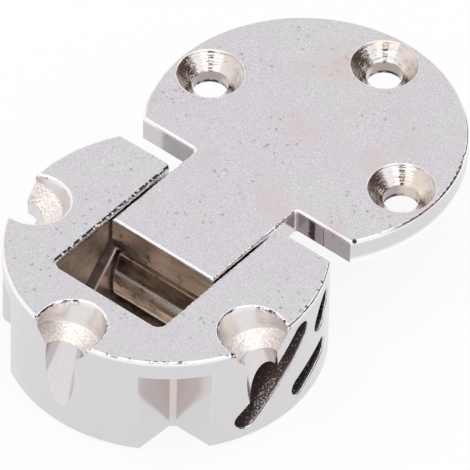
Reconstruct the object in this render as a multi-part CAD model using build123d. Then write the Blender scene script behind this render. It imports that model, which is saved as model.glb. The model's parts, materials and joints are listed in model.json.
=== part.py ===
"""Flap hinge: a drilled-in cup and a round flange plate that swings up out of it on two pins.

Millimetres. The origin is the centre of the cup's round floor, on its underside. +X runs from
the cup to the flange plate, the hinge pin lies along Y and +Z is up. The hinge is shown open,
with the plate's top level with the cup's top.
"""
import math
import os

from build123d import *

# Round outline that the cup and the flange plate share
OUTLINE_DIAMETER = 35.0

# Cup
CUP_CHORD = 9.7             # flat side, from the cup's axis
CUP_CORNER = 0.5            # upright edges where the flat side meets the round one
FLOOR = 0.75                # bottom of the pocket
TOP_ROUND = 0.35            # all upper edges, on the cup and on the plate
FOOT_CHAMFER = 0.4

# Pins and what they turn in
PIN_DIAMETER = 2.4
PIN_CHAMFER = 0.2
PRESS_PLAY = 0.01           # pin in the plate's bore, radial
SLOT_PLAY = 0.05            # pin in the cup's slots, radial
HINGE_X = 1.4               # hinge pin, from the cup's axis
HINGE_DEPTH = 10.4          # hinge pin, below the top
PIN_SPACING = 7.4           # hinge pin to guide pin
PIN_LEAN = 1.5              # degrees that the guide pin stands back from straight above
HINGE_PIN_REACH = 2.5       # how far each end of the hinge pin enters its slot
SWING = 90.0                # degrees from open to shut

# Flange plate
PLATE_THICKNESS = 3.2
PLATE_CHORD_OFFSET = 9.9    # flat side, from the plate's axis
CHORD_GAP = 3.45            # between the two flat sides when open
PLATE_UNDER_CHAMFER = 0.2
INNER_CORNER = 0.4          # where the tongue leaves the plate's flat side
OUTER_CORNER = 0.45         # where the flat side meets the round one
TONGUE_WIDTH = 14.0

# Leg that carries the tongue's pins
BOSS_RADIUS = 2.0           # round end about the hinge pin
NOSE_HEIGHT = 3.85          # tongue's front face
WAIST_DEPTH = 5.9           # hollow of the leg's front, below the top
WAIST_SETBACK = 1.0         # that hollow, behind the tongue's front face
BROW_RISE = 2.5             # ridge where the front swells again, above the hinge pin
BROW_SETBACK = 0.3
LIP_RISE = 1.0              # edge of the boss's front, above the hinge pin
WAIST_ROUND = 0.4
BROW_ROUND = 0.3
LEG_EDGE = 0.3              # rounded side edges of the leg's front
LEG_BACK = 2.2              # back of the leg, behind the hinge pin
THROAT_ROUND = 1.4          # where the leg's back meets the tongue

# Pocket
SIDE_GAP = 0.3              # tongue to pocket wall, each side
SWING_GAP = 0.65            # tongue's swinging corner to the pocket's end
FLOOR_GAP = 0.25            # boss to pocket floor
POCKET_CORNER = 0.9
MOUTH_ROUND = 1.0           # upright corners where the pocket leaves the flat side
SILL_WALL = 1.5             # wall under the tongue that closes the flat side

# Slots through both side walls
GUIDE_OVERRUN = 0.45        # guide slot beyond the guide pin's open place
SHIFT_X = 4.4               # hinge slot, centre to centre along X
SHIFT_RISE = 1.3
SHIFT_SAG = 0.18            # rise of the slot's arc above its chord
SHORT_SLOT_WIDTH = 2.6
SHORT_SLOT_X = 6.25         # middle of the short third slot
SHORT_SLOT_DEPTH = 3.82
SHORT_SLOT_LENGTH = 1.9     # centre to centre
SHORT_SLOT_ANGLE = 52.0
SHORT_SLOT_SAG = 0.12
SLOT_ROUND = 0.2            # rims of the slots, outside and in the pocket

# Screw seats in the cup's rim, each on a slanted axis
SEAT_ANGLES = (180.0, 104.0, -104.0)
SEAT_INSET = 1.95           # seat's axis at the top, inside the round outline
SEAT_SLANT = 21.0           # degrees that the axis leans outwards going down
SEAT_RECESS = 7.2           # bore for the screw's head
SEAT_DEPTH = 1.6            # that bore, along its axis from the cup's top
SEAT_CONE = 90.0
SCREW_HOLE = 4.0

# Upright V flutes in the cup's side
FLUTE_RIM = 2.3             # metal left above each flute
FLUTE_START = 30.0          # degrees round from -X
FLUTE_END = 57.0
FLUTE_DEPTH = 3.9           # valley, inside the round outline
FLUTE_FLAT = 0.75

# Countersunk holes in the plate
HOLE_INSET = 4.2            # hole's axis, inside the round outline
HOLE_ANGLES = (90.0, 0.0, -90.0)
COUNTERSINK = 7.4
COUNTERSINK_CONE = 90.0
SINK_ROUND = 0.3            # rounded mouth of each countersink

# Worked out from the above
OUTLINE_RADIUS = OUTLINE_DIAMETER / 2
PIN_RADIUS = PIN_DIAMETER / 2
SLOT_WIDTH = PIN_DIAMETER + 2 * SLOT_PLAY
CUP_HEIGHT = HINGE_DEPTH + BOSS_RADIUS + FLOOR_GAP + FLOOR
HINGE_Z = CUP_HEIGHT - HINGE_DEPTH
PLATE_BOTTOM = CUP_HEIGHT - PLATE_THICKNESS
PLATE_CHORD = CUP_CHORD + CHORD_GAP
PLATE_X = PLATE_CHORD + PLATE_CHORD_OFFSET
SEAT_RADIUS = OUTLINE_RADIUS - SEAT_INSET
FLUTE_VALLEY = OUTLINE_RADIUS - FLUTE_DEPTH
HOLE_CIRCLE = OUTLINE_RADIUS - HOLE_INSET
SINK_WALL = HOLE_INSET - COUNTERSINK / 2 - TOP_ROUND  # flat left between countersink and rim
TONGUE_FRONT = HINGE_X - BOSS_RADIUS
POCKET_HALF = TONGUE_WIDTH / 2 + SIDE_GAP
POCKET_END = HINGE_X - math.hypot(HINGE_DEPTH, BOSS_RADIUS) - SWING_GAP
SEAT_REACH = SEAT_RECESS / 2 / math.cos(math.radians(SEAT_SLANT))
END_WALL = SEAT_RADIUS - SEAT_REACH + POCKET_END  # between the end seat and the pocket
THROUGH = 2 * OUTLINE_DIAMETER  # longer than anything that is cut through


def from_hinge(distance, angle):
    """Point (x, z) at a distance and angle from the hinge pin, counted from +X towards +Z."""
    turn = math.radians(angle)
    return HINGE_X + distance * math.cos(turn), HINGE_Z + distance * math.sin(turn)


GUIDE_OPEN = from_hinge(PIN_SPACING, 90 + PIN_LEAN)
GUIDE_SHUT = from_hinge(PIN_SPACING, 90 + PIN_LEAN + SWING)
GUIDE_REACH = 1 + GUIDE_OVERRUN / math.dist(GUIDE_SHUT, GUIDE_OPEN)
GUIDE_TOP = tuple(shut + GUIDE_REACH * (opened - shut) for shut, opened in zip(GUIDE_SHUT, GUIDE_OPEN))
TOP_WALL = CUP_HEIGHT - GUIDE_TOP[1] - SLOT_WIDTH / 2  # left above the guide slot
CUP_ROUND = min(TOP_ROUND, 0.4 * END_WALL, 0.4 * TOP_WALL)
RIM_ROUND = min(SLOT_ROUND, 0.4 * TOP_WALL)


def side_plane():
    """Upright plane through the cup's axis, with X across and Z up."""
    return Plane.XZ


def sagged_arc(start, end, sag):
    """Arc from start to end in the side plane, its middle raised by sag."""
    middle = ((start[0] + end[0]) / 2, (start[1] + end[1]) / 2)
    length = math.dist(start, end)
    rise = ((start[1] - end[1]) / length, (end[0] - start[0]) / length)
    crown = (middle[0] + sag * rise[0], middle[1] + sag * rise[1])
    return ThreePointArc(start, crown, end)


def slot_through(centre_line, width):
    """Slot of a given width along a centre line, cut across the whole cup."""
    return extrude(side_plane() * SlotArc(centre_line, width), OUTLINE_DIAMETER, both=True)


def guide_slot():
    """Straight slot that the guide pin follows between open and shut."""
    return slot_through(Line(GUIDE_SHUT, GUIDE_TOP), SLOT_WIDTH)


def hinge_slot():
    """Flat arc along which the hinge pin can shift away from its home at the left end."""
    home = (HINGE_X, HINGE_Z)
    return slot_through(sagged_arc(home, (HINGE_X + SHIFT_X, HINGE_Z + SHIFT_RISE), SHIFT_SAG), SLOT_WIDTH)


def short_slot():
    """Third slot, short and steep, near the flat side."""
    turn = math.radians(SHORT_SLOT_ANGLE)
    half = (SHORT_SLOT_LENGTH / 2 * math.cos(turn), SHORT_SLOT_LENGTH / 2 * math.sin(turn))
    middle = (SHORT_SLOT_X, CUP_HEIGHT - SHORT_SLOT_DEPTH)
    low = (middle[0] - half[0], middle[1] - half[1])
    high = (middle[0] + half[0], middle[1] + half[1])
    return slot_through(sagged_arc(low, high, SHORT_SLOT_SAG), SHORT_SLOT_WIDTH)


def cone_down(mouth, included_angle):
    """Countersink with its mouth at the origin's level, widening on above it."""
    slope = math.tan(math.radians(included_angle / 2))
    above = mouth / 2
    depth = mouth / 2 / slope
    wide = mouth / 2 + above * slope
    height = depth + above
    return Pos(0, 0, above - height / 2) * Cone(0, wide, height)


def screw_seat(angle):
    """Head bore, cone and screw hole on one slanted axis that breaks out through the side."""
    head = SEAT_RECESS / 2
    hole = SCREW_HOLE / 2
    cone = (head - hole) / math.tan(math.radians(SEAT_CONE / 2))
    half = Polyline(
        (0, SEAT_RECESS),
        (head, SEAT_RECESS),
        (head, -SEAT_DEPTH),
        (hole, -SEAT_DEPTH - cone),
        (hole, -2 * CUP_HEIGHT),
        (0, -2 * CUP_HEIGHT),
        (0, SEAT_RECESS),
    )
    tool = revolve(side_plane() * make_face(half), Axis.Z)
    return Rot(0, 0, angle) * Pos(SEAT_RADIUS, 0, CUP_HEIGHT) * Rot(0, -SEAT_SLANT, 0) * tool


def flute():
    """V-shaped upright cut in the side, left of -X seen from above, open at the foot."""
    corners = [math.radians(180 - angle) for angle in (FLUTE_START, FLUTE_END)]
    middle = (corners[0] + corners[1]) / 2
    out = (math.cos(middle), math.sin(middle))
    across = (-out[1], out[0])
    rim = OUTLINE_RADIUS / math.cos((corners[0] - corners[1]) / 2)
    mouth = [(OUTLINE_RADIUS * math.cos(a), OUTLINE_RADIUS * math.sin(a)) for a in corners]
    valley = [
        (FLUTE_VALLEY * out[0] + side * FLUTE_FLAT / 2 * across[0],
         FLUTE_VALLEY * out[1] + side * FLUTE_FLAT / 2 * across[1])
        for side in (1, -1)
    ]
    beyond = (2 * rim * out[0], 2 * rim * out[1])
    plan = make_face(Polyline(mouth[0], valley[0], valley[1], mouth[1], beyond, mouth[0]))
    return Pos(0, 0, -FLOOR) * extrude(plan, CUP_HEIGHT - FLUTE_RIM + FLOOR)


def upright_vertices(sketch, x, outer=False):
    """Inner or outer corners of a plan that lie at a given x, on both sides of the middle."""
    reach = POCKET_HALF + MOUTH_ROUND
    return [v for v in sketch.vertices() if abs(v.X - x) < TOP_ROUND and (abs(v.Y) > reach) == outer]


def slot_rims(body):
    """Edges where the slots open into the round side and into the pocket."""
    outside = [f for f in body.faces().filter_by(GeomType.CYLINDER) if abs(f.radius - OUTLINE_RADIUS) < 1e-3]
    walls = [f for f in body.faces().filter_by(Axis.Y) if abs(abs(f.center().Y) - POCKET_HALF) < 1e-3]
    return [edge for face in outside + walls for wire in face.inner_wires() for edge in wire.edges()]


def make_cup():
    """Drilled-in cup: a round block with the pocket, slots, screw seats and flutes cut into it."""
    beyond = Pos(CUP_CHORD, 0) * Rectangle(THROUGH, THROUGH, align=(Align.MIN, Align.CENTER))
    plan = Circle(OUTLINE_RADIUS) - beyond
    plan = fillet(upright_vertices(plan, CUP_CHORD, outer=True), CUP_CORNER)
    pocket = Pos(POCKET_END, 0) * Rectangle(THROUGH, 2 * POCKET_HALF, align=(Align.MIN, Align.CENTER))
    walls = plan - pocket
    walls = fillet(upright_vertices(walls, CUP_CHORD), MOUTH_ROUND)
    walls = fillet(upright_vertices(walls, POCKET_END), POCKET_CORNER)
    body = extrude(walls, CUP_HEIGHT)
    body -= guide_slot() + hinge_slot() + short_slot()
    body = fillet(slot_rims(body), RIM_ROUND)
    for angle in SEAT_ANGLES:
        body -= screw_seat(angle)
    body = fillet(body.faces().sort_by(Axis.Z)[-1].edges(), CUP_ROUND)

    floor = extrude(plan, FLOOR)
    sill_width = 2 * (POCKET_HALF + MOUTH_ROUND)
    sill_plan = Rectangle(SILL_WALL, sill_width, align=(Align.MIN, Align.CENTER))
    sill_plan = Pos(CUP_CHORD - SILL_WALL, 0) * sill_plan
    body = body + floor + extrude(sill_plan, PLATE_BOTTOM)
    body = chamfer(body.faces().sort_by(Axis.Z)[0].outer_wire().edges(), FOOT_CHAMFER)

    body -= flute() + mirror(flute(), about=Plane.XZ)
    return body


def leg_profile():
    """Side view of the tongue's front end and the leg below it, down to the round boss."""
    top = CUP_HEIGHT
    back = HINGE_X + LEG_BACK
    under_tongue = back + 2 * THROAT_ROUND
    front = Polyline(
        (TONGUE_FRONT, top - PLATE_THICKNESS / 2),
        (TONGUE_FRONT, top - NOSE_HEIGHT),
        (TONGUE_FRONT + WAIST_SETBACK, top - WAIST_DEPTH),
        (TONGUE_FRONT + BROW_SETBACK, HINGE_Z + BROW_RISE),
        (TONGUE_FRONT, HINGE_Z + LIP_RISE),
        (TONGUE_FRONT, HINGE_Z),
        (HINGE_X, HINGE_Z),
        (HINGE_X + BOSS_RADIUS, HINGE_Z),
        (back, HINGE_Z + BOSS_RADIUS),
        (back, PLATE_BOTTOM),
        (under_tongue, PLATE_BOTTOM),
        (under_tongue, top - PLATE_THICKNESS / 2),
        (TONGUE_FRONT, top - PLATE_THICKNESS / 2),
    )
    profile = make_face(front)
    rounds = (
        (top - WAIST_DEPTH, WAIST_ROUND),
        (HINGE_Z + BROW_RISE, BROW_ROUND),
        (PLATE_BOTTOM, THROAT_ROUND),
    )
    for height, radius in rounds:
        level = [v for v in profile.vertices() if abs(v.Y - height) < 1e-6]
        profile = fillet(sorted(level, key=lambda v: v.X)[0], radius)
    return profile


def make_plate():
    """Flange plate with its tongue, the leg under the tongue and the bores for both pins."""
    disc = Pos(PLATE_X, 0) * Circle(OUTLINE_RADIUS)
    before = Pos(PLATE_CHORD, 0) * Rectangle(THROUGH, THROUGH, align=(Align.MAX, Align.CENTER))
    tongue = Pos(TONGUE_FRONT, 0) * Rectangle(
        PLATE_X - TONGUE_FRONT, TONGUE_WIDTH, align=(Align.MIN, Align.CENTER))
    plan = (disc - before) + tongue
    plan = fillet(upright_vertices(plan, PLATE_CHORD), INNER_CORNER)
    plan = fillet(upright_vertices(plan, PLATE_CHORD, outer=True), OUTER_CORNER)
    plate = Pos(0, 0, PLATE_BOTTOM) * extrude(plan, PLATE_THICKNESS)
    plate = fillet(plate.faces().sort_by(Axis.Z)[-1].edges(), TOP_ROUND)
    plate = chamfer(plate.faces().sort_by(Axis.Z)[0].edges(), PLATE_UNDER_CHAMFER)

    leg = extrude(side_plane() * leg_profile(), TONGUE_WIDTH / 2, both=True)
    boss = extrude(side_plane() * (Pos(HINGE_X, HINGE_Z) * Circle(BOSS_RADIUS)), TONGUE_WIDTH / 2, both=True)
    leg = leg + boss
    sides = [edge for face in leg.faces().filter_by(Axis.Y) for edge in face.edges()]
    sides = [edge for edge in sides if edge.center().Z < CUP_HEIGHT - WAIST_DEPTH]
    leg = fillet(sides, LEG_EDGE)
    plate = plate + leg

    bore = PIN_RADIUS + PRESS_PLAY
    for x, z in (GUIDE_OPEN, (HINGE_X, HINGE_Z)):
        plate -= Pos(x, 0, z) * Rot(90, 0, 0) * Cylinder(bore, THROUGH)
    for angle in HOLE_ANGLES:
        place = Pos(PLATE_X, 0, CUP_HEIGHT) * Rot(0, 0, angle) * Pos(HOLE_CIRCLE, 0, 0)
        plate -= place * Cylinder(SCREW_HOLE / 2, THROUGH)
        plate -= place * cone_down(COUNTERSINK, COUNTERSINK_CONE)
    mouths = plate.faces().sort_by(Axis.Z)[-1].inner_wires()
    if SINK_WALL > 0.4 * SINK_ROUND:
        plate = fillet([edge for wire in mouths for edge in wire.edges()], SINK_ROUND)
    return plate


def make_pin(centre, length):
    """Plain pin along Y with a small chamfer at each end."""
    pin = Pos(centre[0], 0, centre[1]) * Rot(90, 0, 0) * Cylinder(PIN_RADIUS, length)
    ends = pin.faces().filter_by(Axis.Y).edges()
    return chamfer(ends, PIN_CHAMFER)


def main():
    parts = {
        "cup": make_cup(),
        "flange_plate": make_plate(),
        "hinge_pin": make_pin((HINGE_X, HINGE_Z), 2 * (POCKET_HALF + HINGE_PIN_REACH)),
        "guide_pin": make_pin(GUIDE_OPEN, TONGUE_WIDTH),
    }
    os.makedirs("parts", exist_ok=True)
    for name, shape in parts.items():
        export_step(shape, f"parts/{name}.step")


main()
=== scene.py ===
# %% [markdown]
# # A flap hinge in satin nickel
#
# This lesson dresses a small furniture fitting: a drilled-in cup and a round flange plate, both
# die-cast in zinc and plated with nickel, held together by two steel cross pins. The solids come
# from a CAD model and already have the right shape, down to the rounded rims. So the work here is
# in the finishes, the light and the camera. The first step loads the solids as a fixed frame and
# keeps the box that they fill.

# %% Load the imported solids
import json
import math

import bpy
from mathutils import Matrix, Vector

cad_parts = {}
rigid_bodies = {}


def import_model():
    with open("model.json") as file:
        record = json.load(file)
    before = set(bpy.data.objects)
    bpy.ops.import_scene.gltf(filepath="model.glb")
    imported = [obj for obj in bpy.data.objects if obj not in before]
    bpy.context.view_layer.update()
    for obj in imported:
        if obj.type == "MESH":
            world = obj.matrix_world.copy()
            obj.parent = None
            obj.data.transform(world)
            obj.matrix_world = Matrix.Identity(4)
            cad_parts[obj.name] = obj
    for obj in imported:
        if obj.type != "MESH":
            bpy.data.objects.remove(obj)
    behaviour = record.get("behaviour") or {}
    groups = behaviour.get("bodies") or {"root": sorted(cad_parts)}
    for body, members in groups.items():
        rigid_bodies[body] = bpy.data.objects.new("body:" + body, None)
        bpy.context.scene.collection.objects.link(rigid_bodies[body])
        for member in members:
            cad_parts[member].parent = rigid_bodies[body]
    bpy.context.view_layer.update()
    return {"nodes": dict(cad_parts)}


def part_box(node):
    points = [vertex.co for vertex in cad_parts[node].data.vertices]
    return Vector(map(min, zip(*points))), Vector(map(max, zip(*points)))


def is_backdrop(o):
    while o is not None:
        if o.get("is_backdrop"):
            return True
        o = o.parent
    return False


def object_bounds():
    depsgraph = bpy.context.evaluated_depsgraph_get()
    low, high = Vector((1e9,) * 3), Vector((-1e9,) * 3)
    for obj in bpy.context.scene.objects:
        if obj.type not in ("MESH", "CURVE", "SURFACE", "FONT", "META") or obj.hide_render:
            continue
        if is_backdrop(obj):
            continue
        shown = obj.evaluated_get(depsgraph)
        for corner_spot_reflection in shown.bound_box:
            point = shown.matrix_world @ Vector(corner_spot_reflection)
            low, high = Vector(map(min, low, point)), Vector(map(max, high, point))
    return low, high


MM_PER_METRE = 1000.0

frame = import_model()
bpy.ops.object.select_all(action="DESELECT")


def in_mm(corner_spot_reflection):
    """A corner or size in rounded millimetres, for printing."""
    return [round(MM_PER_METRE * value, 2) for value in corner_spot_reflection]


for name in frame["nodes"]:
    low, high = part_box(name)
    print(name, "from", in_mm(low), "to", in_mm(high), "mm")

# %% [markdown]
# Blender's start-up file may hold a cube, a lamp and a camera of its own. They are no part of the
# hinge, so they go first.

# %% Clear what the start-up file brought
for stray in [thing for thing in bpy.data.objects if thing.name in ("Cube", "Light", "Camera")]:
    bpy.data.objects.remove(stray, do_unlink=True)

# %% [markdown]
# ## The camera
#
# The hinge was looked at from far away through a long lens, so parallel edges stay nearly
# parallel. A camera can be set by hand until it fits, but here its place and its three axes were
# worked out from the round outlines, which turn into ellipses. A matrix holds them: its columns
# are the camera's right, its up, its back and its place.

# %% Set the camera
CAMERA_PLACE = Vector((-0.82812, -0.68245, 1.09254))
CAMERA_RIGHT = Vector((0.64213, -0.76646, 0.01478))
CAMERA_AHEAD = Vector((0.54763, 0.44514, -0.70849))
SENSOR_WIDTH = 36.0
LENS = 1099.1
NEAREST_SEEN = 0.1
FURTHEST_SEEN = 50.0

camera_data = bpy.data.cameras.new("long_lens")
camera_data.sensor_width = SENSOR_WIDTH
camera_data.lens = LENS
camera_data.clip_start = NEAREST_SEEN
camera_data.clip_end = FURTHEST_SEEN
camera = bpy.data.objects.new("camera", camera_data)
bpy.context.scene.collection.objects.link(camera)
back = -CAMERA_AHEAD.normalized()
right = CAMERA_RIGHT.normalized()
up = back.cross(right)
turn = Matrix((right, up, back)).transposed()
camera.matrix_world = Matrix.Translation(CAMERA_PLACE) @ turn.to_4x4()
bpy.context.scene.camera = camera
print("camera stands", round(CAMERA_PLACE.length, 3), "m from the cup")

# %% [markdown]
# ## Small helpers for node materials
#
# A material is a tree of nodes. Written out one by one, the nodes hide the idea, so a few helpers
# add a node, fill its sockets with numbers or links, and hand back its output. Each finish below
# then reads like a recipe.


# %% Helpers that add nodes
def fill(tree, socket, value):
    """Gives a socket a plain value, or links it where the value is another node's output."""
    if isinstance(value, bpy.types.NodeSocket):
        tree.links.new(value, socket)
    else:
        socket.default_value = value


def add(tree, kind, *values, **settings):
    """Adds a node, sets its options, and fills its sockets from the first one on."""
    made = tree.nodes.new("ShaderNode" + kind)
    for option, value in settings.items():
        setattr(made, option, value)
    for socket, value in zip(made.inputs, values):
        if value is not None:
            fill(tree, socket, value)
    return made


def calc(tree, operation, *values):
    """One step of arithmetic."""
    return add(tree, "Math", *values, operation=operation).outputs[0]


def blend_in(tree, amount, under, over):
    """Mixes two colours by an amount from 0 to 1."""
    mix = add(tree, "Mix", data_type="RGBA")
    fill(tree, mix.inputs[0], amount)
    fill(tree, mix.inputs[6], under)
    fill(tree, mix.inputs[7], over)
    return mix.outputs[2]


def swap_at(tree, switch, before, after):
    """The first number where the switch is 0, and the second where it is 1."""
    return add(tree, "Mix", switch, None, before, after, data_type="FLOAT").outputs[0]


def start_tree(owner):
    """Turns nodes on for a material or a world, and clears them."""
    owner.use_nodes = True
    owner.node_tree.nodes.clear()
    return owner.node_tree


print("node helpers ready")

# %% [markdown]
# A finish changes from place to place, and a mask says where: 1 where something shows and 0 where
# it doesn't. Masks with soft steps look more like wear than hard ones. Further down, a name in
# capitals with two numbers is such a step, and one with four numbers is a band with two soft ends.


# %% Helpers that make masks
def step_between(tree, value, start, end, low=0.0, high=1.0):
    """Turns a value into a smooth step that runs from low at start to high at end."""
    step = add(tree, "MapRange", value, start, end, low, high, interpolation_type="SMOOTHSTEP")
    return step.outputs[0]


def both(tree, *masks):
    """Where all masks are 1. It also multiplies a mask by a share or a pattern."""
    result = masks[0]
    for mask in masks[1:]:
        result = calc(tree, "MULTIPLY", result, mask)
    return result


def either(tree, *masks):
    """Where any mask is 1."""
    result = masks[0]
    for mask in masks[1:]:
        result = calc(tree, "MAXIMUM", result, mask)
    return result


def band(tree, value, start, full, fade, end):
    """A mask that rises from start to full, and falls again from fade to end."""
    return both(tree, step_between(tree, value, start, full), step_between(tree, value, end, fade))


def without(tree, mask, share=1.0):
    """What a mask leaves: 1 outside it, and 1 minus the share inside it."""
    return calc(tree, "MULTIPLY_ADD", mask, -share, 1.0)


def shifted(tree, value, mask, amount):
    """Adds an amount to a value where the mask is 1."""
    return calc(tree, "MULTIPLY_ADD", mask, amount, value)


print("mask helpers ready")

# %% [markdown]
# Patterns and places come last. Noise gives soft blotches and Voronoi cells give single dots, each
# at a size in millimetres. The places are read from Object coordinates, so they stay put on the
# metal whichever way the hinge is turned.


# %% Helpers for patterns and places
def speckle(tree, place, size_mm, detail=2.0, roughness=0.5):
    """Soft random pattern with lumps of about a given size, from 0 to 1."""
    noise = add(tree, "TexNoise", noise_dimensions="3D")
    fill(tree, noise.inputs["Vector"], place)
    noise.inputs["Scale"].default_value = 1 / size_mm
    noise.inputs["Detail"].default_value = detail
    noise.inputs["Roughness"].default_value = roughness
    return noise.outputs[0]


def blotches(tree, place, size_mm, start, end, low=0.0, high=1.0, detail=2.0):
    """A mask of blotches: the higher the step from start to end, the fewer of them."""
    return step_between(tree, speckle(tree, place, size_mm, detail), start, end, low, high)


def dots(tree, place, spacing_mm, reach, channel):
    """One small dot in most cells of the given spacing, and a random number for each cell."""
    cells = add(tree, "TexVoronoi", feature="F1")
    fill(tree, cells.inputs["Vector"], place)
    cells.inputs["Scale"].default_value = 1 / spacing_mm
    chance = add(tree, "SeparateColor", cells.outputs["Color"]).outputs[channel]
    return step_between(tree, cells.outputs["Distance"], reach, 0.4 * reach), chance


def split(tree, place):
    """The x, y and z of a place."""
    return add(tree, "SeparateXYZ", place).outputs[:]


def stretched(tree, place, along_y):
    """The place with its Y made shorter, which draws a pattern out along Y."""
    mapping = add(tree, "Mapping", place)
    mapping.inputs["Scale"].default_value = (1.0, along_y, 1.0)
    return mapping.outputs[0]


def flattened(tree, place):
    """The place with its height taken away."""
    x, y, _ = split(tree, place)
    return add(tree, "CombineXYZ", x, y, 0.0).outputs[0]


def apart(tree, place, spot):
    """Distance in millimetres from a place to a spot."""
    return add(tree, "VectorMath", place, spot, operation="DISTANCE").outputs["Value"]


def start_material(name):
    """A new material with its shader, and the place on the piece in millimetres."""
    material = bpy.data.materials.new(name)
    tree = start_tree(material)
    shader = add(tree, "BsdfPrincipled")
    out = add(tree, "OutputMaterial")
    tree.links.new(shader.outputs[0], out.inputs["Surface"])
    coordinates = add(tree, "TexCoord")
    place = add(tree, "VectorMath", coordinates.outputs["Object"], operation="SCALE")
    place.inputs["Scale"].default_value = MM_PER_METRE
    return material, tree, shader, place.outputs[0]


print("pattern helpers ready")

# %% [markdown]
# ## Masks that follow the hinge's own shape
#
# The casting is one piece of metal, but it doesn't look the same everywhere. The open faces are
# clean satin, the pocket is brown with old polish, and the screw seats are raw and grainy. Each
# of these places is easy to name in millimetres from the cup's axis and from its top face, so the
# masks are simple sums on the place.

# %% Where things are on the cup
CUP_HEIGHT = 13.4
OUTLINE_RADIUS = 17.5
FLUTE_ANGLES = [math.radians(angle) for angle in (28.5, 29.5, 57.5, 58.5)]
FLUTE_FLOOR = (13.0, 13.2)
SLOT_FOOT = (-6.0, 2.81)
SLOT_ACROSS = (0.725, -0.688)
CUP_AXIS = (0.0, 0.0, 0.0)


def below_top(tree, place):
    """How far a place lies below the hinge's level top."""
    return calc(tree, "SUBTRACT", CUP_HEIGHT, split(tree, place)[2])


def flute_place(tree, place):
    """1 in the two upright flutes, by the angle round from -X and the distance from the axis."""
    x, y, _ = split(tree, place)
    turned = calc(tree, "ARCTAN2", calc(tree, "ABSOLUTE", y), calc(tree, "MULTIPLY", x, -1.0))
    from_axis = apart(tree, flattened(tree, place), CUP_AXIS)
    return both(tree, band(tree, turned, *FLUTE_ANGLES),
                step_between(tree, from_axis, *FLUTE_FLOOR))


def below_guide_slot(tree, place):
    """Distance from the long slot's centre line in the side view, counted towards the floor."""
    x, _, z = split(tree, place)
    across = calc(tree, "MULTIPLY", calc(tree, "SUBTRACT", x, SLOT_FOOT[0]), SLOT_ACROSS[0])
    down = calc(tree, "MULTIPLY", calc(tree, "SUBTRACT", z, SLOT_FOOT[1]), SLOT_ACROSS[1])
    return calc(tree, "ADD", across, down)


print("flutes start", round(math.degrees(FLUTE_ANGLES[1]), 1), "degrees round from -X")

# %% [markdown]
# The three screw seats lean outwards. Each has a bore for the screw's head, a cone below it and a
# hole, all on one slanted axis. A dot product gives the depth along that axis and a cross product
# gives the distance from it, and the nearest of the three seats wins.

# %% Where the screw seats are
SEAT_TOP_RADIUS = 15.55
SEAT_SLANT = math.radians(21.0)
SEAT_ANGLES = (180.0, 104.0, -104.0)
SEAT_HEAD_RADIUS = 3.6
SCREW_HOLE_RADIUS = 2.0
SEAT_DEPTH = 1.6
CONE_END = SEAT_DEPTH + SEAT_HEAD_RADIUS - SCREW_HOLE_RADIUS


def seat_places(tree, place):
    """For the nearest seat: distance from its axis, depth along it, and the way round it."""
    nearest = None
    for angle in SEAT_ANGLES:
        way = math.radians(angle)
        out = Vector((math.cos(way), math.sin(way), 0.0))
        axis = tuple(math.sin(SEAT_SLANT) * out - math.cos(SEAT_SLANT) * Vector((0, 0, 1)))
        top = tuple(SEAT_TOP_RADIUS * out + Vector((0, 0, CUP_HEIGHT)))
        here = add(tree, "VectorMath", place, top, operation="SUBTRACT").outputs[0]
        depth = add(tree, "VectorMath", here, axis, operation="DOT_PRODUCT").outputs["Value"]
        way_round = add(tree, "VectorMath", here, axis, operation="CROSS_PRODUCT").outputs[0]
        off = add(tree, "VectorMath", way_round, operation="LENGTH").outputs["Value"]
        if nearest is None:
            nearest = (off, depth, way_round)
            continue
        nearer = calc(tree, "LESS_THAN", off, nearest[0])
        nearest = (calc(tree, "MINIMUM", off, nearest[0]),
                   swap_at(tree, nearer, nearest[1], depth),
                   blend_in(tree, nearer, nearest[2], way_round))
    return nearest


print("seat cone from", SEAT_DEPTH, "to", round(CONE_END, 2), "mm down its axis")

# %% [markdown]
# ## Satin nickel
#
# The castings are tumbled before they are plated, which leaves a fine frosted grain with tiny
# facets and pits. Metal has no colour of its own apart from its reflection, so the base colour is
# the reflection's tint, the grain goes into the colour and a very shallow bump, and the pits into
# both. The facets' glints are painted highlights, white dots in the colour. The rounded rims are
# smoother, their near-white colour is a painted highlight, and a few of them are a little wavy.

# %% The satin nickel shared by both castings
NICKEL = (0.645, 0.610, 0.650, 1.0)
NICKEL_COOL = (0.640, 0.630, 0.650, 1.0)
NICKEL_LIGHT = (0.760, 0.745, 0.770, 1.0)
NICKEL_DARK = (0.545, 0.515, 0.545, 1.0)
PIT = (0.26, 0.22, 0.24, 1.0)
GLINT_WHITE = (1.0, 0.99, 1.0, 1.0)
RIM_HIGHLIGHT = (0.97, 0.95, 0.95, 1.0)
GRAIN_SIZE = 0.16
GLINT_SPACING, GLINT_REACH, GLINT_SHARE = 0.42, 0.22, 0.8
PIT_SPACING, PIT_REACH, PIT_SHARE, PIT_DEPTH = 0.8, 0.27, 0.85, 2.0
RIM_DEPTHS = (0.004, 0.02, 0.4, 0.6)
RIM_SMOOTHNESS, RIM_SHARE = 0.24, 0.9
WAVE_SIZE, WAVE_HEIGHT = 0.40, 8.0
TONGUE_EDGE = (6.4, 6.6)
BESIDE_TONGUE = (8.4, 7.9)
PLATE_START = (11.0, 13.0)


def frosted(tree, place):
    """The plain grain: its colour, and the fine pattern that it comes from."""
    fine = speckle(tree, place, GRAIN_SIZE, detail=1.0)
    cool = blotches(tree, place, 9.0, 0.40, 0.60, detail=1.0)
    colour = blend_in(tree, cool, NICKEL, NICKEL_COOL)
    light = step_between(tree, fine, 0.50, 0.70, 0.0, 0.8)
    colour = blend_in(tree, light, colour, NICKEL_LIGHT)
    dark = step_between(tree, fine, 0.48, 0.30, 0.0, 0.7)
    return blend_in(tree, dark, colour, NICKEL_DARK), fine


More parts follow.
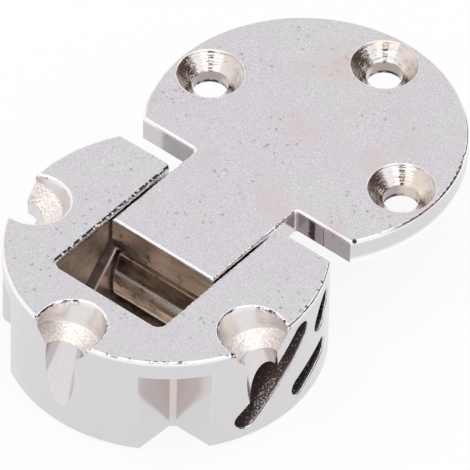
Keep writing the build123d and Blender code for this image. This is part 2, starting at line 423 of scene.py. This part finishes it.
def waves_on_rims(tree, place):
    """How strongly the rims are beaded: most beside the tongue, least on the plate."""
    x, y, _ = split(tree, place)
    aside = calc(tree, "ABSOLUTE", y)
    strength = shifted(tree, step_between(tree, aside, *TONGUE_EDGE, 0.4, 1.0),
                       step_between(tree, aside, *TONGUE_EDGE),
                       step_between(tree, aside, *BESIDE_TONGUE, 0.0, 1.6))
    on_plate = step_between(tree, x, *PLATE_START, 1.0, 0.1)
    return both(tree, strength, on_plate, speckle(tree, place, WAVE_SIZE, detail=1.0))


def satin(tree, place, glint_amount, pitted):
    """Colour, roughness and height of the frosted plating, with painted glints and a painted
    highlight on its smoother rims.
    """
    colour, fine = frosted(tree, place)
    coarse = speckle(tree, place, 1.1, detail=3.0)

    # Painted glints: white dots in the colour stand for tiny facets that catch the light.
    glint_dots, chance = dots(tree, place, GLINT_SPACING, GLINT_REACH, 0)
    crowded = calc(tree, "ADD", chance, step_between(tree, coarse, 0.40, 0.60, -0.20, 0.20))
    glint_dots = both(tree, glint_dots, step_between(tree, crowded, 1.0 - glint_amount, 1.05 - glint_amount))
    colour = blend_in(tree, both(tree, glint_dots, GLINT_SHARE), colour, GLINT_WHITE)

    # Pits that gather in patches, pushed about a little so that they aren't round.
    push = add(tree, "TexNoise", place).outputs["Color"]
    ragged = add(tree, "VectorMath", place, push, operation="ADD").outputs[0]
    pits, chance = dots(tree, ragged, PIT_SPACING, PIT_REACH, 1)
    crowded = calc(tree, "ADD", chance, blotches(tree, place, 5.0, 0.48, 0.60, -0.45, 0.25))
    pits = both(tree, pits, step_between(tree, crowded, 1.02 - pitted, 1.22 - pitted))
    colour = blend_in(tree, both(tree, pits, PIT_SHARE), colour, PIT)

    # The rounded rims are smoother, and their brighter colour is a painted highlight.
    rim = band(tree, below_top(tree, place), *RIM_DEPTHS)
    roughness = step_between(tree, coarse, 0.3, 0.7, 0.34, 0.39)
    roughness = shifted(tree, roughness, rim, -RIM_SMOOTHNESS)
    colour = blend_in(tree, both(tree, rim, RIM_SHARE), colour, RIM_HIGHLIGHT)
    height = shifted(tree, fine, pits, -PIT_DEPTH)
    height = shifted(tree, height, both(tree, rim, waves_on_rims(tree, place)), WAVE_HEIGHT)
    return colour, roughness, height


def finish_material(tree, shader, colour, roughness, height, height_mm):
    """Links a recipe's results to the shader."""
    fill(tree, shader.inputs["Base Color"], colour)
    fill(tree, shader.inputs["Roughness"], roughness)
    shader.inputs["Metallic"].default_value = 1.0
    bump = add(tree, "Bump")
    bump.inputs["Strength"].default_value = 1.0
    bump.inputs["Distance"].default_value = height_mm / MM_PER_METRE
    fill(tree, bump.inputs["Height"], height)
    tree.links.new(bump.outputs[0], shader.inputs["Normal"])


print("satin recipe ready")

# %% [markdown]
# ## The cup
#
# The cup begins with the satin, with fewer painted glints than the plate's. Its upright outside
# and its two flutes are smoother than the top, so their grain is almost taken away. The upper part
# of each flute carries a warm painted reflection, in a shape that narrows to a point, and the
# slots' rims are smooth.

# %% The cup's outside and flutes
SIDE_NICKEL = (0.70, 0.69, 0.70, 1.0)
FLUTE_REFLECTION_TINT = (0.68, 0.60, 0.575, 1.0)
SIDE_SHARE = 0.8
SIDE_CALM = 0.93
CUP_SIDE_SMOOTHNESS = 0.20
CUP_SIDE_TOP = (0.2, 0.5)
OUTSIDE_SKIN = (0.05, 0.01)
FLUTE_ROOF = (11.6, 11.2)
FLUTE_MOUTH = (17.4, 17.1)
FLUTE_REFLECTION_SLOPE = 1.9
FLUTE_REFLECTION_FOOT = (-24.8, -24.0)
SLOT_RIM = (0.005, 0.02, 0.2, 0.3)
SLOT_RIM_SMOOTHNESS = 0.2

cup_finish, tree, shader, place = start_material("cup_satin_nickel")
colour, roughness, height = satin(tree, place, glint_amount=0.18, pitted=0.62)
x, y, z = split(tree, place)
aside = calc(tree, "ABSOLUTE", y)
depth = below_top(tree, place)
from_axis = apart(tree, flattened(tree, place), CUP_AXIS)
inward = calc(tree, "SUBTRACT", OUTLINE_RADIUS, from_axis)

flutes = flute_place(tree, place)
upright = step_between(tree, depth, *CUP_SIDE_TOP)
side = both(tree, either(tree, step_between(tree, inward, *OUTSIDE_SKIN), flutes), upright)
colour = blend_in(tree, both(tree, side, SIDE_SHARE), colour, SIDE_NICKEL)
# Painted reflection: a warm patch on the upper part of each flute, below a slanting line.
rise = calc(tree, "MULTIPLY_ADD", from_axis, -FLUTE_REFLECTION_SLOPE, z)
flute_reflection = both(tree, flutes, step_between(tree, z, *FLUTE_ROOF),
            step_between(tree, rise, *FLUTE_REFLECTION_FOOT),
            step_between(tree, from_axis, *FLUTE_MOUTH))
colour = blend_in(tree, both(tree, flute_reflection, SIDE_SHARE), colour, FLUTE_REFLECTION_TINT)
roughness = shifted(tree, roughness, side, -CUP_SIDE_SMOOTHNESS)
height = both(tree, height, without(tree, side, SIDE_CALM))
slot_rim = both(tree, band(tree, inward, *SLOT_RIM), upright)
roughness = shifted(tree, roughness, slot_rim, -SLOT_RIM_SMOOTHNESS)
print("cup outside:", len(tree.nodes), "nodes")

# %% [markdown]
# Old polish has dried in the pocket and browned it. The slots in the side walls are painted nearly
# black as painted shade, darkest towards their lower side. Everything inside the outline and below
# the top is such a recess, apart from the seats and the flutes. A few white painted glints keep
# the slots from looking like holes in paper.

# %% The cup's pocket and slots
POCKET_HALF = 7.3
CHORD_WALL = (9.68, 9.5)
POLISH_DARK = (0.60, 0.52, 0.47, 1.0)
PALE_POLISH_AND_PAINTED_LIGHT = (0.95, 0.87, 0.80, 1.0)
SLOT_PAINTED_SHADE = (0.20, 0.145, 0.135, 1.0)
SLOT_DEEPER_SHADE = (0.10, 0.08, 0.08, 1.0)
PALE_GRAIN_AND_GLINT = (0.95, 0.92, 0.89, 1.0)
CAST_GRAIN = 0.20
RECESS_GRAIN_HEIGHT = 2.0
SLOT_ROUGHNESS = 0.25
HEAD_EDGE = (SEAT_HEAD_RADIUS + 0.12, SEAT_HEAD_RADIUS + 0.02)
HOLE_EDGE = (SCREW_HOLE_RADIUS + 0.10, SCREW_HOLE_RADIUS + 0.04)
CONE_FOOT = (CONE_END + 0.06, CONE_END + 0.02)
SEAT_TOP = (0.05, 0.3)
SEAT_INSIDE = (0.02, 0.10)
RECESS_TOP = (0.3, 0.8)
RECESS_INSIDE = (0.25, 0.45)
FAR_WALL_LIT = (7.05, 7.25)
SIDE_WALL = (POCKET_HALF + 1.5, POCKET_HALF + 4.0)
BELOW_SLOT = (1.6, 2.0)

seat_off, seat_along, seat_round = seat_places(tree, place)
in_head = both(tree, step_between(tree, seat_off, *HEAD_EDGE),
               step_between(tree, seat_along, *CONE_FOOT))
in_hole = step_between(tree, seat_off, *HOLE_EDGE)
in_seat = both(tree, either(tree, in_head, in_hole),
               step_between(tree, depth, *SEAT_TOP), step_between(tree, inward, *SEAT_INSIDE))
recess = both(tree, step_between(tree, inward, *RECESS_INSIDE),
              step_between(tree, depth, *RECESS_TOP), step_between(tree, x, *CHORD_WALL),
              without(tree, either(tree, in_seat, flutes)))
cloudy = step_between(tree, speckle(tree, place, 1.6, detail=4.0, roughness=0.65), 0.36, 0.60)
brown = blend_in(tree, cloudy, POLISH_DARK, PALE_POLISH_AND_PAINTED_LIGHT)
# Painted light: the pocket's far wall, which faces the camera, is paler.
far_wall_painted_light = step_between(tree, y, *FAR_WALL_LIT, 0.0, 0.35)
brown = blend_in(tree, far_wall_painted_light, brown, PALE_POLISH_AND_PAINTED_LIGHT)
# Painted shade: inside the side walls the slots are nearly black, darker still towards their lower
# side.
in_wall = step_between(tree, aside, *SIDE_WALL)
brown = blend_in(tree, in_wall, brown, SLOT_PAINTED_SHADE)
slot_down = below_guide_slot(tree, place)
deeper_shade = both(tree, in_wall, step_between(tree, slot_down, *BELOW_SLOT))
brown = blend_in(tree, deeper_shade, brown, SLOT_DEEPER_SHADE)
colour = blend_in(tree, recess, colour, brown)
grain = speckle(tree, place, CAST_GRAIN)
# Painted glints: white specks on the slots' walls.
painted_glints = both(tree, recess, in_wall, step_between(tree, grain, 0.62, 0.68))
colour = blend_in(tree, painted_glints, colour, PALE_GRAIN_AND_GLINT)
height = shifted(tree, height, both(tree, recess, grain), RECESS_GRAIN_HEIGHT)
roughness = shifted(tree, roughness, both(tree, recess, in_wall), SLOT_ROUGHNESS)
print("with pocket and slots:", len(tree.nodes), "nodes")

# %% [markdown]
# The seats were left as they came from the die. The hole is smooth with pale streaks along it, and
# the cone is grainy and catches the light, which a coarse bump on a pale colour gives.

# %% The screw seats' holes and cones
HOLE_LAVENDER = (0.74, 0.71, 0.73, 1.0)
CAST_BEIGE = (0.75, 0.66, 0.60, 1.0)
SEAT_SMOOTHNESS = 0.16
STREAK_WIDTH = 0.5
CONE_BAND = (SEAT_DEPTH - 0.5, SEAT_DEPTH + 0.1, CONE_END - 0.05, CONE_END + 0.05)

height = both(tree, height, without(tree, in_seat))
roughness = shifted(tree, roughness, in_seat, -SEAT_SMOOTHNESS)
in_hole = both(tree, in_hole, in_seat)
colour = blend_in(tree, in_hole, colour, HOLE_LAVENDER)
streaks = blotches(tree, seat_round, STREAK_WIDTH, 0.48, 0.60, 0.0, 0.4)
colour = blend_in(tree, both(tree, in_hole, streaks), colour, CAST_BEIGE)
cone = both(tree, in_seat, band(tree, seat_along, *CONE_BAND))
cast = blend_in(tree, step_between(tree, grain, 0.40, 0.58), CAST_BEIGE, PALE_GRAIN_AND_GLINT)
colour = blend_in(tree, cone, colour, cast)
print("with holes and cones:", len(tree.nodes), "nodes")

# %% [markdown]
# Some of the rims carry a dark painted reflection, broken into beads: round the mouths of two
# seats, along the pocket's far rim, and here and there on the outer rim. Each is a narrow strip of
# the rim, and noise breaks it into beads.

# %% Painted dark reflections on the cup's rims
RIM_DARK_REFLECTION = (0.03, 0.03, 0.03, 1.0)
POCKET_END = -9.84
POCKET_START = (POCKET_END, POCKET_END + 0.3)
UPPER_RIM = (0.5, 0.4)
MOUTH_RING = [SEAT_HEAD_RADIUS + wider for wider in (-0.15, -0.05, 0.40, 0.55)]
MOUTH_DEPTHS = (0.02, 0.06, 0.5, 0.7)
BEADED_STRIP = (7.42, 7.52, 7.74, 7.84)
SPECKED_RING = (0.06, 0.12, 0.38, 0.45)
SPECK_SHARE = 0.8
CLEAN_FAR_SEAT = (9.0, 7.0)
CLEAN_FAR_RIM = (4.0, 2.0)

# Painted dark reflections: round the seats' mouths, beads on the pocket's far rim, specks on the
# outer rim.
mouth_dark_reflection = both(tree, band(tree, seat_off, *MOUTH_RING), band(tree, depth, *MOUTH_DEPTHS),
             step_between(tree, y, *CLEAN_FAR_SEAT),
             blotches(tree, place, 1.6, 0.46, 0.51), blotches(tree, place, 0.35, 0.42, 0.48))
colour = blend_in(tree, mouth_dark_reflection, colour, RIM_DARK_REFLECTION)
beaded_dark_reflection = both(tree, band(tree, y, *BEADED_STRIP), step_between(tree, depth, *UPPER_RIM),
             step_between(tree, x, *POCKET_START),
             blotches(tree, place, 0.45, 0.40, 0.48, detail=1.0))
colour = blend_in(tree, beaded_dark_reflection, colour, RIM_DARK_REFLECTION)
specked_dark_reflection = both(tree, band(tree, inward, *SPECKED_RING), step_between(tree, depth, *UPPER_RIM),
              step_between(tree, y, *CLEAN_FAR_RIM), blotches(tree, place, 2.2, 0.46, 0.54),
              blotches(tree, place, 0.40, 0.50, 0.56, detail=1.0))
colour = blend_in(tree, both(tree, specked_dark_reflection, SPECK_SHARE), colour, RIM_DARK_REFLECTION)
print("with beads:", len(tree.nodes), "nodes")

# %% [markdown]
# The bores for the screw heads have fine rings, which a sine of the depth gives. Where a side hole
# meets the long slot, the slot's lower wall is as grainy as the cone, in painted shade with white
# painted glints. After that the cup's recipe is complete and goes onto its CAD node.

# %% The bores, the crossing, and the cup's finish
BORE_BEIGE = (0.80, 0.76, 0.75, 1.0)
RINGS_PER_MM = 26.0
RING_HEIGHT = 0.15
CAST_GRAIN_HEIGHT = 12.0
BUMP_MM = 0.006
BORE_SHARE = 0.8
BORE_FOOT = (SEAT_DEPTH + 0.1, SEAT_DEPTH - 0.1)
CROSSING_WALL = (9.0, 10.0)
CROSSING_REACH = (3.4, 3.0)
CROSSING_START = (CONE_END, CONE_END + 0.5)
LOWER_WALL = (0.1, 0.5)

roughness = shifted(tree, roughness, cone, SEAT_SMOOTHNESS)
rings = calc(tree, "SINE", calc(tree, "MULTIPLY", seat_along, RINGS_PER_MM))
bore = both(tree, in_seat, step_between(tree, seat_along, *BORE_FOOT))
colour = blend_in(tree, both(tree, bore, BORE_SHARE), colour, BORE_BEIGE)
height = shifted(tree, height, both(tree, cone, grain), CAST_GRAIN_HEIGHT)
height = shifted(tree, height, both(tree, bore, rings), RING_HEIGHT)
crossing = both(tree, recess, step_between(tree, aside, *CROSSING_WALL),
                step_between(tree, seat_off, *CROSSING_REACH),
                step_between(tree, seat_along, *CROSSING_START),
                step_between(tree, slot_down, *LOWER_WALL))
# Painted glints on the painted shade where a side hole meets the long slot.
shade_and_glints = blend_in(tree, step_between(tree, grain, 0.53, 0.60), SLOT_PAINTED_SHADE, PALE_GRAIN_AND_GLINT)
colour = blend_in(tree, crossing, colour, shade_and_glints)
height = shifted(tree, height, both(tree, crossing, grain), CAST_GRAIN_HEIGHT)
finish_material(tree, shader, colour, roughness, height, BUMP_MM)
frame["nodes"]["cup"].material_slots[0].material = cup_finish
print("cup:", len(tree.nodes), "nodes")

# %% [markdown]
# ## The flange plate
#
# The plate has the same satin on top, with more painted glints and with faint warm stains where
# polish dried. Its upright sides are smooth, and its underside is plain satin again. The foot of
# the round edge is painted white, a painted reflection of the floor.

# %% The plate's top, sides and underside
PLATE_X = 23.05
PLATE_BOTTOM = 10.2
PLATE_AXIS = (PLATE_X, 0.0, 0.0)
STAIN = (0.67, 0.56, 0.54, 1.0)
STAIN_SIZE = 7.0
FLOOR_REFLECTION_WHITE = (1.0, 1.0, 1.0, 1.0)
PLATE_SIDE_SMOOTHNESS = 0.22
PLATE_SIDE_TOP = (0.3, 0.4)
UNDERSIDE = [PLATE_BOTTOM + up for up in (-0.03, -0.01, 0.01, 0.03)]
PLATE_SKIN = (OUTLINE_RADIUS - 0.10, OUTLINE_RADIUS - 0.03)
FOOT_REFLECTION_HEIGHT = (PLATE_BOTTOM + 1.1, PLATE_BOTTOM + 0.4)

plate_finish, tree, shader, place = start_material("plate_satin_nickel")
colour, roughness, height = satin(tree, place, glint_amount=0.42, pitted=0.50)
x, y, z = split(tree, place)
depth = below_top(tree, place)
level = flattened(tree, place)
colour = blend_in(tree, blotches(tree, place, STAIN_SIZE, 0.50, 0.70, 0.0, 0.60), colour, STAIN)
not_under = without(tree, band(tree, z, *UNDERSIDE))
side = both(tree, not_under, step_between(tree, depth, *PLATE_SIDE_TOP))
roughness = shifted(tree, roughness, side, -PLATE_SIDE_SMOOTHNESS)
height = both(tree, height, without(tree, side, SIDE_CALM))
colour = blend_in(tree, both(tree, side, SIDE_SHARE), colour, SIDE_NICKEL)
from_plate = apart(tree, level, PLATE_AXIS)
# Painted reflection of the floor: the foot of the round edge is white.
foot_floor_reflection = both(tree, step_between(tree, from_plate, *PLATE_SKIN),
                 step_between(tree, z, *FOOT_REFLECTION_HEIGHT))
colour = blend_in(tree, foot_floor_reflection, colour, FLOOR_REFLECTION_WHITE)
print("plate's faces:", len(tree.nodes), "nodes")

# %% [markdown]
# The plate's flat side is painted darker near the tongue's foot. On its near half a dark stripe
# and one thin line run down it, and a small black spot sits in the corner of the rim; these three
# are painted reflections. They are painted as strips of Y on that one face.

# %% A darker tint and painted reflections on the plate's flat side
PLATE_CHORD = 13.15
CHORD_DARKER = (0.46, 0.39, 0.38, 1.0)
BURR_AND_REFLECTION_BLACK = (0.06, 0.05, 0.05, 1.0)
FLAT_SIDE = [PLATE_CHORD + off for off in (-0.4, -0.1, 0.03, 0.1)]
NEAR_DARK_START = (-6.5, -7.5)
NEAR_DARK_FADE = (-10.4, -10.9)
FAR_DARK_START = (6.5, 7.0)
STRIPE_START = (-7.7, -8.2)
STRIPE_END = (-9.75, -9.45)
STRIPE_RAGGED = 1.5
THIN_LINE_SHARE = 0.7
THIN_LINE = (-10.86, -10.81, -10.73, -10.68)
CORNER_SPOT = (PLATE_CHORD + 0.50, -14.58, CUP_HEIGHT - 0.1)
CORNER_REACH = (0.32, 0.20)

# Beside the tongue's foot the flat side is painted darker, faintly on the far side.
flat_side = both(tree, side, band(tree, x, *FLAT_SIDE))
near_darkening = both(tree, step_between(tree, y, *NEAR_DARK_START, 0.0, 0.9),
                  step_between(tree, y, *NEAR_DARK_FADE, 1.0, 0.4))
far_darkening = step_between(tree, y, *FAR_DARK_START, 0.0, 0.3)
darkened_side = both(tree, flat_side, either(tree, near_darkening, far_darkening))
colour = blend_in(tree, darkened_side, colour, CHORD_DARKER)
# The dark stripe, the thin line and the corner spot are painted reflections.
ragged_y = shifted(tree, y, speckle(tree, place, 0.6, detail=3.0), STRIPE_RAGGED)
stripe_reflection = both(tree, step_between(tree, ragged_y, *STRIPE_START), step_between(tree, y, *STRIPE_END))
thin_line_reflection = both(tree, band(tree, y, *THIN_LINE), THIN_LINE_SHARE)
colour = blend_in(tree, both(tree, flat_side, either(tree, stripe_reflection, thin_line_reflection)), colour, BURR_AND_REFLECTION_BLACK)
corner_spot_reflection = step_between(tree, apart(tree, place, CORNER_SPOT), *CORNER_REACH)
colour = blend_in(tree, corner_spot_reflection, colour, BURR_AND_REFLECTION_BLACK)
print("with stains:", len(tree.nodes), "nodes")

# %% [markdown]
# The plate's three countersinks are cut, not cast, so they are bright like a mirror, and the short
# screw hole below each is dull grey. The nearest of the three holes is found as for the cup's
# seats, and the side of each countersink towards the camera's right is painted rosier, a painted
# reflection.

# %% Where the plate's holes are
HOLE_CIRCLE = 13.3
HOLE_ANGLES = (90.0, 0.0, -90.0)
COUNTERSINK_RADIUS = 3.82
REFLECTION_SIDE = (0.64, -0.77, 0.0)
SINK_BRIGHT = (0.87, 0.83, 0.81, 1.0)
SINK_ROSY_REFLECTION = (0.60, 0.52, 0.49, 1.0)
SHANK_GREY = (0.42, 0.37, 0.35, 1.0)
SINK_EDGE = (COUNTERSINK_RADIUS + 0.01, COUNTERSINK_RADIUS - 0.04)
SINK_TOP = (0.005, 0.04)
SHANK_EDGE = (SCREW_HOLE_RADIUS + 0.10, SCREW_HOLE_RADIUS + 0.03)
ROSY_REFLECTION_HALF = (0.6, 2.4)

nearest_hole = None
for angle in HOLE_ANGLES:
    way = math.radians(angle)
    centre = (PLATE_X + HOLE_CIRCLE * math.cos(way), HOLE_CIRCLE * math.sin(way), 0.0)
    here = add(tree, "VectorMath", level, centre, operation="SUBTRACT").outputs[0]
    sideways = add(tree, "VectorMath", here, REFLECTION_SIDE, operation="DOT_PRODUCT").outputs["Value"]
    here = add(tree, "VectorMath", here, operation="LENGTH").outputs["Value"]
    if nearest_hole is None:
        nearest_hole, reflection_side = here, sideways
        continue
    nearer = calc(tree, "LESS_THAN", here, nearest_hole)
    reflection_side = swap_at(tree, nearer, reflection_side, sideways)
    nearest_hole = calc(tree, "MINIMUM", nearest_hole, here)
sink = both(tree, step_between(tree, depth, *SINK_TOP), not_under,
            step_between(tree, nearest_hole, *SINK_EDGE))
shank = both(tree, sink, step_between(tree, nearest_hole, *SHANK_EDGE))
colour = blend_in(tree, sink, colour, SINK_BRIGHT)
# Painted reflection: the side of each countersink towards the camera's right is rosier.
rosy_reflection = both(tree, sink, step_between(tree, reflection_side, *ROSY_REFLECTION_HALF),
            blotches(tree, place, 1.6, 0.30, 0.60, 0.3, 0.9))
colour = blend_in(tree, rosy_reflection, colour, SINK_ROSY_REFLECTION)
colour = blend_in(tree, shank, colour, SHANK_GREY)
print("with countersinks:", len(tree.nodes), "nodes")

# %% [markdown]
# The cutter leaves arcs round each hole. They come from a noise that is stretched round it: its
# first coordinate is the distance from the hole, and the other two hardly change. A dark burr at
# the hole's foot and a thin grey lip inside the mouth finish the cut.

# %% Turning marks, burrs and lips
SINK_LIP = 3.58
LIP_BAND = [SINK_LIP + wider for wider in (-0.07, -0.02, 0.02, 0.07)]
BURR_TOP = (PLATE_BOTTOM + 0.45, PLATE_BOTTOM + 0.30)
SINK_GOLD = (0.80, 0.68, 0.58, 1.0)
SINK_GLOSS = 0.60
ARC_WIDTH = 0.14
ARC_STRETCH = 0.12
ARC_HEIGHT = 6.0
ARC_SHARE = 0.75
GOLD_SHARE = 0.7

burr = both(tree, shank, step_between(tree, z, *BURR_TOP), blotches(tree, place, 0.7, 0.38, 0.46))
colour = blend_in(tree, burr, colour, BURR_AND_REFLECTION_BLACK)
lip = both(tree, not_under, band(tree, nearest_hole, *LIP_BAND),
           blotches(tree, place, 1.2, 0.35, 0.60, 0.2, 0.75))
colour = blend_in(tree, lip, colour, SHANK_GREY)
roughness = both(tree, roughness, without(tree, sink, SINK_GLOSS))
round_hole = add(tree, "CombineXYZ", nearest_hole, calc(tree, "MULTIPLY", x, ARC_STRETCH),
                 calc(tree, "MULTIPLY", y, ARC_STRETCH)).outputs[0]
marks = speckle(tree, round_hole, ARC_WIDTH)
arcs = both(tree, sink, step_between(tree, marks, 0.45, 0.36),
            blotches(tree, place, 1.8, 0.36, 0.52), ARC_SHARE)
colour = blend_in(tree, arcs, colour, SHANK_GREY)
gold = both(tree, sink, blotches(tree, place, 3.5, 0.50, 0.62), GOLD_SHARE)
colour = blend_in(tree, gold, colour, SINK_GOLD)
height = both(tree, height, without(tree, sink))
height = shifted(tree, height, both(tree, sink, marks), ARC_HEIGHT)
print("with turning marks:", len(tree.nodes), "nodes")

# %% [markdown]
# The leg below the tongue is browned like the pocket that it swings in. Its stains are drawn out
# along the pin, it is painted paler just below the top as painted light, and painted dark below
# the lip as painted shade. Smudges break up the brown.

# %% The leg's brown
LEG_DARK = (0.43, 0.35, 0.30, 1.0)
LEG_LIGHT = (0.77, 0.67, 0.59, 1.0)
SMUDGE_AND_SHADE = (0.22, 0.16, 0.13, 1.0)
RIDGE_HEIGHT = 5.5
LIP_HEIGHT = 2.6
STAIN_STRETCH = 0.2
LEG_TOP = (0.4, 0.9)
LEG_BACK = (9.0, 7.0)
PALE_TOP = (RIDGE_HEIGHT + 3.2, RIDGE_HEIGHT + 3.8)
DARK_FOOT = (LIP_HEIGHT - 0.1, LIP_HEIGHT - 0.5)

leg = both(tree, step_between(tree, depth, *LEG_TOP), step_between(tree, x, *LEG_BACK))
cloudy = speckle(tree, stretched(tree, place, STAIN_STRETCH), 0.8, detail=4.0, roughness=0.65)
brown = blend_in(tree, step_between(tree, cloudy, 0.36, 0.60), LEG_DARK, LEG_LIGHT)
# Painted light: the leg is paler just below the top.
pale_top_painted_light = step_between(tree, z, *PALE_TOP, 0.0, 0.5)
brown = blend_in(tree, pale_top_painted_light, brown, PALE_POLISH_AND_PAINTED_LIGHT)
smudges = blotches(tree, place, 0.9, 0.58, 0.68, 0.0, 0.7, detail=3.0)
brown = blend_in(tree, smudges, brown, SMUDGE_AND_SHADE)
# Painted shade: the leg is dark below the lip.
dark_foot_painted_shade = step_between(tree, z, *DARK_FOOT, 0.0, 0.85)
brown = blend_in(tree, dark_foot_painted_shade, brown, SMUDGE_AND_SHADE)
colour = blend_in(tree, leg, colour, brown)
print("with the leg:", len(tree.nodes), "nodes")

# %% [markdown]
# The ridge and the lip carry a painted highlight, near-white and rougher. On the ridge the
# shader's
# Metallic goes down, so that this painted highlight takes the light as a matte surface. After that
# the plate's recipe is complete.

# %% Painted highlights on the leg, and the plate's finish
PAINTED_HIGHLIGHT_WHITE = (1.0, 0.98, 0.97, 1.0)
RIDGE_FADE = 1.3
LIP_FADE = 0.35
HIGHLIGHT_ROUGHNESS = 0.4
LEG_FRONT = (1.0, 0.6)
MATTE_HIGHLIGHT_FOOT = (RIDGE_HEIGHT - 1.4, RIDGE_HEIGHT - 1.2)
MATTE_HIGHLIGHT_FADE = (6.0, -5.0)

grain = speckle(tree, place, CAST_GRAIN)
# Painted highlights on the ridge and the lip: near-white, rougher, and less metallic on the ridge.
edges = [band(tree, z, edge - fade, edge - 0.05, edge + 0.02, edge + 0.16)
         for edge, fade in ((RIDGE_HEIGHT, RIDGE_FADE), (LIP_HEIGHT, LIP_FADE))]
painted_highlights = both(tree, leg, either(tree, *edges), step_between(tree, x, *LEG_FRONT),
              step_between(tree, cloudy, 0.30, 0.50),
              step_between(tree, grain, 0.30, 0.50, 0.4, 1.0))
colour = blend_in(tree, painted_highlights, colour, PAINTED_HIGHLIGHT_WHITE)
roughness = shifted(tree, roughness, painted_highlights, HIGHLIGHT_ROUGHNESS)
matte_highlight = both(tree, painted_highlights, step_between(tree, z, *MATTE_HIGHLIGHT_FOOT),
              step_between(tree, y, *MATTE_HIGHLIGHT_FADE, 0.25, 0.9))
height = shifted(tree, height, both(tree, leg, grain), RECESS_GRAIN_HEIGHT)
finish_material(tree, shader, colour, roughness, height, BUMP_MM)
fill(tree, shader.inputs["Metallic"], without(tree, matte_highlight))
frame["nodes"]["flange_plate"].material_slots[0].material = plate_finish
print("flange plate:", len(tree.nodes), "nodes")

# %% [markdown]
# ## The cross pins
#
# The pins are cut from drawn steel wire. Drawing leaves fine lines along the wire, so the
# pattern is stretched along Y, the way that the pins lie.

# %% The pins' finish
STEEL_DARK = (0.52, 0.50, 0.48, 1.0)
STEEL_LIGHT = (0.66, 0.64, 0.62, 1.0)
LINE_STRETCH = 0.04
LINE_WIDTH = 0.12
PIN_BUMP_MM = 0.004

pin_finish, tree, shader, place = start_material("drawn_steel")
lines = speckle(tree, stretched(tree, place, LINE_STRETCH), LINE_WIDTH)
colour = blend_in(tree, lines, STEEL_DARK, STEEL_LIGHT)
roughness = step_between(tree, lines, 0.3, 0.7, 0.22, 0.34)
finish_material(tree, shader, colour, roughness, lines, PIN_BUMP_MM)
for pin in ("hinge_pin", "guide_pin"):
    frame["nodes"][pin].material_slots[0].material = pin_finish
print("pins:", len(tree.nodes), "nodes")

# %% [markdown]
# ## Floor, world and lamps
#
# A white ground is simplest as a plain floor plus a white world. The floor shows the camera
# mostly plain white, mixed with a little real white paint, so that the hinge's soft shadow stays.
# The world is white to the camera and in reflections, and dimmer as a light.

# %% The floor
WHITE = (1.0, 1.0, 1.0, 1.0)
PAINT = (0.95, 0.95, 0.95, 1.0)
PAINT_SHARE = 0.12
FLOOR_SIZE = 6.0


def seen_in_picture(tree):
    """1 for rays that show a thing: straight, in a reflection, or through glass."""
    rays = add(tree, "LightPath").outputs
    return either(tree, rays["Is Camera Ray"], rays["Is Glossy Ray"], rays["Is Transmission Ray"])


def show_surface(tree, surface, kind="OutputMaterial"):
    """Links a shader to the tree's output."""
    tree.links.new(surface.outputs[0], add(tree, kind).inputs["Surface"])


bpy.ops.mesh.primitive_plane_add(size=FLOOR_SIZE, location=(0.0, 0.0, 0.0))
floor = bpy.context.object
floor.name = "floor"
floor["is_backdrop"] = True
paper = bpy.data.materials.new("white_paper")
tree = start_tree(paper)
glow = add(tree, "Emission", WHITE, 1.0).outputs[0]
paint = add(tree, "BsdfDiffuse", PAINT).outputs[0]
picture = add(tree, "MixShader", PAINT_SHARE, glow, paint).outputs[0]
show_surface(tree, add(tree, "MixShader", seen_in_picture(tree), paint, picture))
floor.data.materials.append(paper)
print("floor at z = 0")

# %% The world
WORLD_AS_LIGHT = 0.90

world = bpy.data.worlds.new("studio")
bpy.context.scene.world = world
tree = start_tree(world)
white = add(tree, "Background", WHITE, 1.0).outputs[0]
soft = add(tree, "Background", WHITE, WORLD_AS_LIGHT).outputs[0]
show_surface(tree, add(tree, "MixShader", seen_in_picture(tree), soft, white), "OutputWorld")
print("world ready")

# %% [markdown]
# One large softbox hangs over the hinge, a little towards the camera, and adds a soft gleam to the
# level faces and the rims. It is weak, because in a metal surface it adds to the white world
# behind it. Polished metal in an all-white room looks flat, so a photographer puts dark cards
# beside it: one by the camera, a wide one low on the right, and a smaller one higher on the right.
# They show in reflections only, and neither the camera nor the lamp notices them.

# %% The lamp
AIM = (0.012, 0.0, 0.008)


def aim_at_hinge(thing, place):
    """Puts a lamp or a card in its place and turns its face to the hinge."""
    thing.location = place
    towards = Vector(AIM) - Vector(place)
    thing.rotation_euler = towards.to_track_quat("-Z", "Y").to_euler()


def softbox(name, place, size, power):
    """A square area lamp aimed at the hinge."""
    lamp = bpy.data.lights.new(name, "AREA")
    lamp.shape = "SQUARE"
    lamp.size = size
    lamp.energy = power
    holder = bpy.data.objects.new(name, lamp)
    bpy.context.scene.collection.objects.link(holder)
    aim_at_hinge(holder, place)


softbox("overhead", (-0.12, -0.08, 0.75), 0.90, 1.2)

# %% The dark cards
CARD_DARK = (0.10, 0.075, 0.06, 1.0)

card_board = bpy.data.materials.new("dark_card")
tree = start_tree(card_board)
show_surface(tree, add(tree, "Emission", CARD_DARK, 1.0))


def dark_card(name, place, width, height):
    """A card that shows in reflections only."""
    bpy.ops.object.select_all(action="DESELECT")
    bpy.ops.mesh.primitive_plane_add(size=1.0)
    card = bpy.context.object
    card.name = name
    card.scale = (width, height, 1.0)
    aim_at_hinge(card, place)
    card.data.materials.append(card_board)
    card.visible_camera = False
    card.visible_diffuse = False
    card.visible_shadow = False
    card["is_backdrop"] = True


dark_card("card_by_camera", (-0.34, -0.28, 0.42), 0.20, 0.14)
dark_card("card_low_right", (0.62, -0.50, 0.26), 1.5, 0.42)
dark_card("card_high_right", (0.33, -0.41, 0.53), 0.30, 0.26)
print("cards set")

# %% [markdown]
# ## Finish
#
# The view transform stays plain, so that a colour renders as written. The size of what is shown
# is written beside the size of the solids, and the two should agree.

# %% Finish
bpy.context.scene.view_settings.view_transform = "Standard"
shown_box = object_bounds()
print("shown size", in_mm(high - low for low, high in zip(*shown_box)), "mm")
